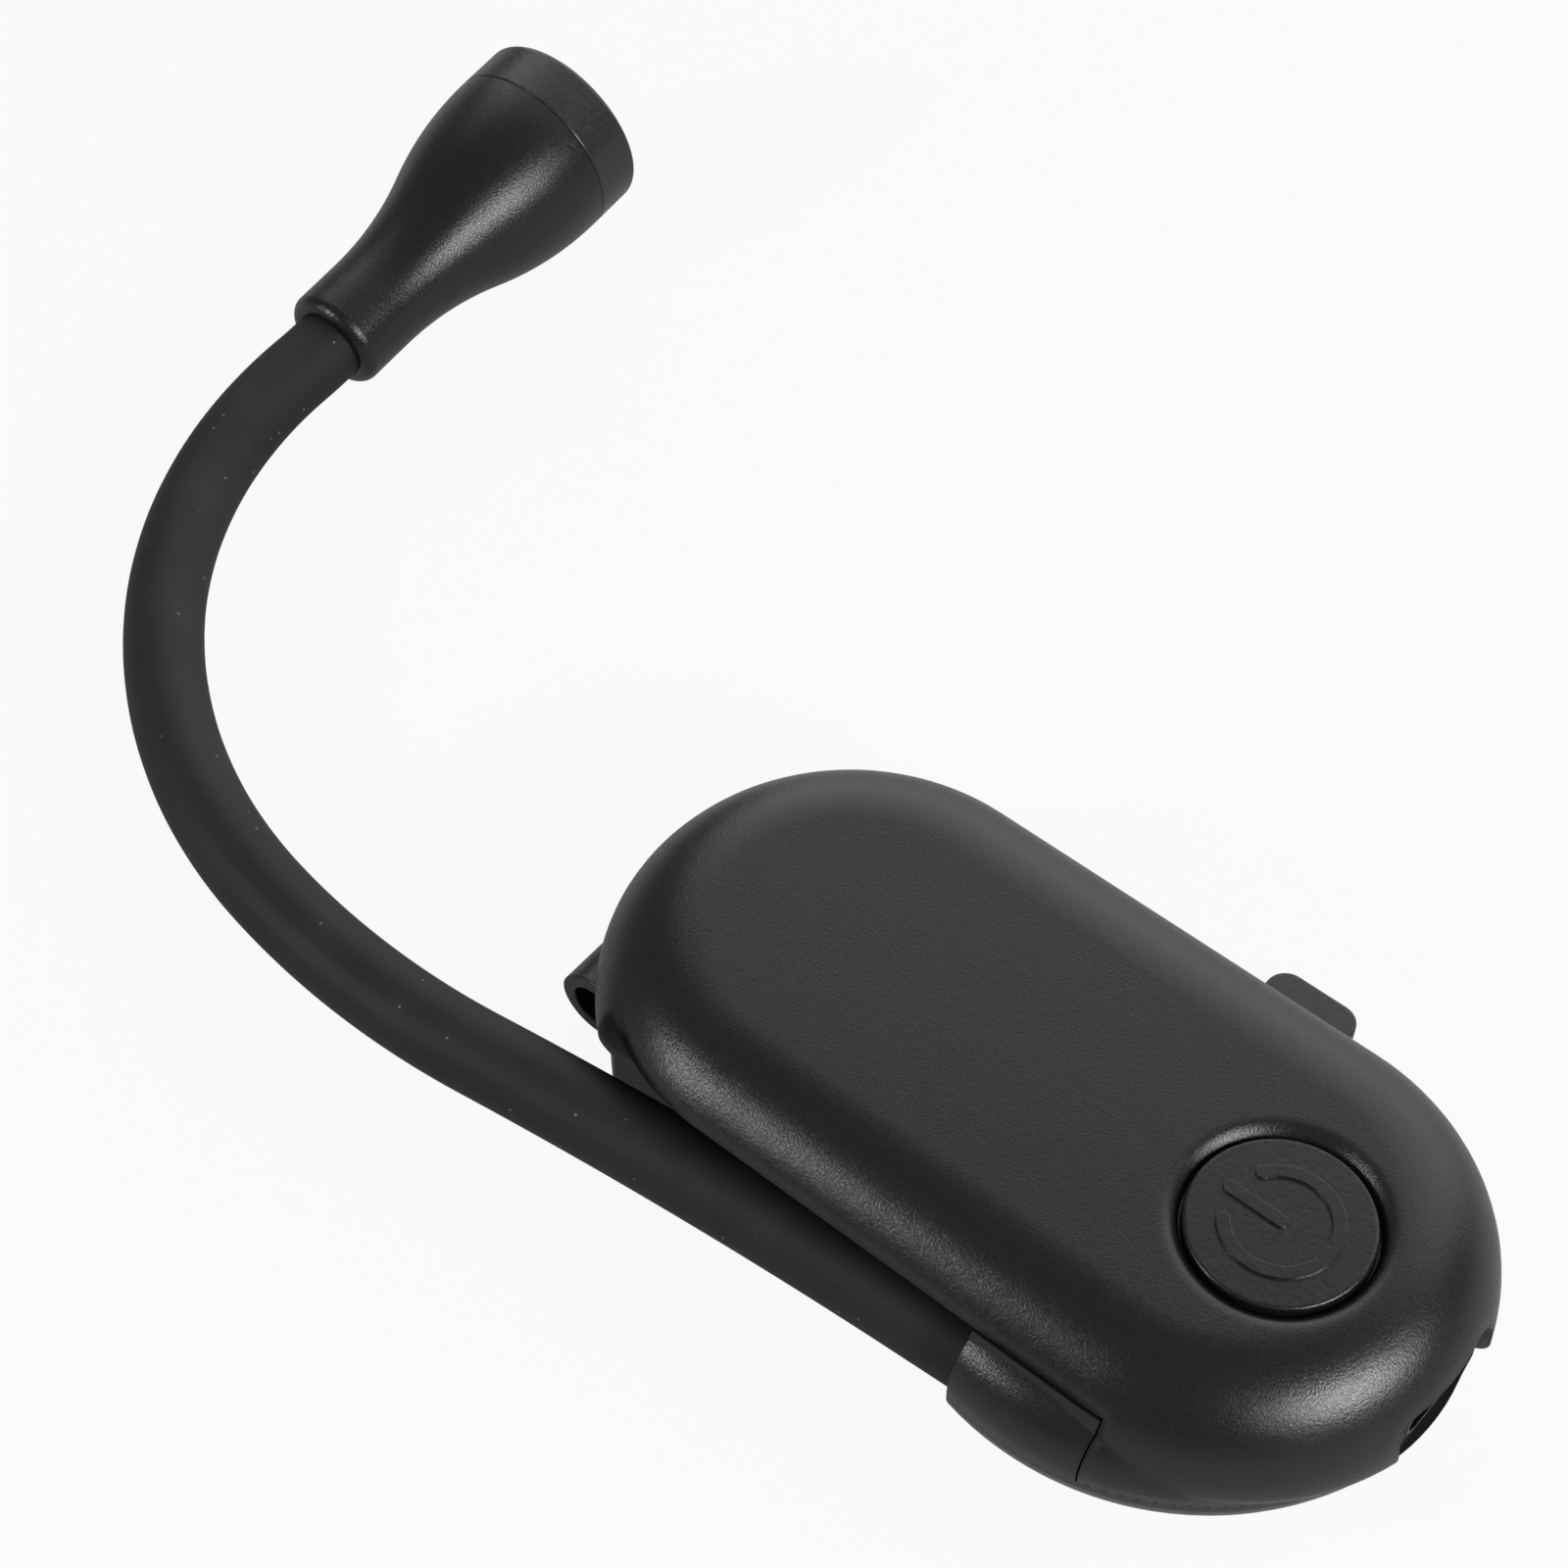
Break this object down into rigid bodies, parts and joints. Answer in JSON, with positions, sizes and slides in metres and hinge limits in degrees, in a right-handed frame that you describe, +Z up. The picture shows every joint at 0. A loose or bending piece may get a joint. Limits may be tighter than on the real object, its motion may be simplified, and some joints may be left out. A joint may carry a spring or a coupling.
{
  "type": "clip on reading lamp",
  "caption": "Rechargeable clip-on reading lamp: pill-shaped body with push button and spring jaw, flexible neck and small flared lamp head.",
  "frame": {"origin": "middle of the body's flat grip face, against which the jaw closes", "axes": "+X along the body to the button end, -Y to the side where the neck lies, +Z up out of the button"},
  "size_m": [0.1552, 0.0904, 0.0194],
  "materials": {
    "housing_plastic": "dark grey, fine spark-eroded grain",
    "smooth_plastic": "dark grey, smooth satin",
    "silicone_sleeve": "matt silicone",
    "grip_rubber": "matt rubber",
    "steel": "plain steel",
    "board": "solder mask",
    "switch_plastic": "moulded",
    "cell_wrap": "pouch foil",
    "reflector_plating": "metallised",
    "clear_lens": "clear",
    "led_base": "white mask on aluminium",
    "led_phosphor": "phosphor"
  },
  "bodies": {
    "base": {"upper_housing": "housing_plastic", "lower_housing": "housing_plastic", "neck_socket": "housing_plastic", "clip_pin": "steel", "clip_spring": "steel", "grip_pad": "grip_rubber", "tact_switch": "switch_plastic", "main_board": "board", "usb_port": "steel", "battery_cell": "cell_wrap", "housing_screws": "steel", "neck_core_0": "steel", "socket_anchor": "steel"},
    "jaw": {"clip_jaw": "smooth_plastic", "jaw_pad": "grip_rubber"},
    "button": {"power_button": "smooth_plastic", "switch_plunger": "switch_plastic"},
    "neck_1": {"neck_core_1": "steel", "neck_sleeve_1": "silicone_sleeve"},
    "neck_2": {"neck_core_2": "steel", "neck_sleeve_2": "silicone_sleeve"},
    "neck_3": {"neck_core_3": "steel", "neck_sleeve_3": "silicone_sleeve"},
    "neck_4": {"neck_core_4": "steel", "neck_sleeve_4": "silicone_sleeve"},
    "neck_5": {"neck_core_5": "steel", "neck_sleeve_5": "silicone_sleeve"},
    "neck_6": {"neck_core_6": "steel", "neck_sleeve_6": "silicone_sleeve"},
    "neck_7": {"neck_core_7": "steel", "neck_sleeve_7": "silicone_sleeve"},
    "head": {"neck_core_8": "steel", "neck_sleeve_8": "silicone_sleeve", "head_anchor": "steel", "lamp_shell": "housing_plastic", "lamp_bezel": "smooth_plastic", "reflector": "reflector_plating", "lamp_lens": "clear_lens", "led_board": "led_base", "led_chip": "led_phosphor"}
  },
  "joints": [
    {"name": "neck_swing_out", "type": "hinge", "parent": "base", "child": "neck_1", "pos_m": [0.00201, -0.01819, 0.0048], "axis": [0, 0, 1], "range_deg": [0, 40], "deforming": ["neck_sleeve_1"]},
    {"name": "neck_lift_out", "type": "hinge", "parent": "neck_1", "child": "neck_2", "pos_m": [-0.01594, -0.01956, 0.0048], "axis": [-0.0668, 0.7039, 0.7071], "range_deg": [0, 35], "deforming": ["neck_sleeve_2"]},
    {"name": "neck_bend_3", "type": "hinge", "parent": "neck_2", "child": "neck_3", "pos_m": [-0.03382, -0.02159, 0.0048], "axis": [-0.1309, 0.9914, 0], "range_deg": [-15, 40], "deforming": ["neck_sleeve_3"]},
    {"name": "neck_bend_4", "type": "hinge", "parent": "neck_3", "child": "neck_4", "pos_m": [-0.05173, -0.02317, 0.0048], "axis": [0, 0, 1], "range_deg": [-30, 30], "deforming": ["neck_sleeve_4"]},
    {"name": "neck_bend_5", "type": "hinge", "parent": "neck_4", "child": "neck_5", "pos_m": [-0.06952, -0.02076, 0.0048], "axis": [0.2723, 0.9622, 0], "range_deg": [-30, 30], "deforming": ["neck_sleeve_5"]},
    {"name": "neck_bend_6", "type": "hinge", "parent": "neck_5", "child": "neck_6", "pos_m": [-0.08563, -0.01295, 0.0048], "axis": [0, 0, -1], "range_deg": [-30, 30], "deforming": ["neck_sleeve_6"]},
    {"name": "neck_bend_7", "type": "hinge", "parent": "neck_6", "child": "neck_7", "pos_m": [-0.098, -0.00002, 0.0048], "axis": [-0.8399, -0.5428, 0], "range_deg": [-30, 30], "deforming": ["neck_sleeve_7"]},
    {"name": "neck_bend_8", "type": "hinge", "parent": "neck_7", "child": "head", "pos_m": [-0.10466, 0.01659, 0.0048], "axis": [0, 0, 1], "range_deg": [-30, 30], "deforming": ["neck_sleeve_8"]},
    {"name": "jaw_hinge", "type": "hinge", "parent": "base", "child": "jaw", "pos_m": [-0.0371, 0, 0.00165], "axis": [0, 1, 0], "range_deg": [0, 18], "stiffness_Nm_per_rad": 0.25, "springref_deg": -45.84, "deforming": ["clip_spring"]},
    {"name": "button_press", "type": "slide", "parent": "base", "child": "button", "axis": [0, 0, -1], "range_m": [0, 0.0004], "stiffness_N_per_m": 600, "springref_m": -0.001}
  ]
}
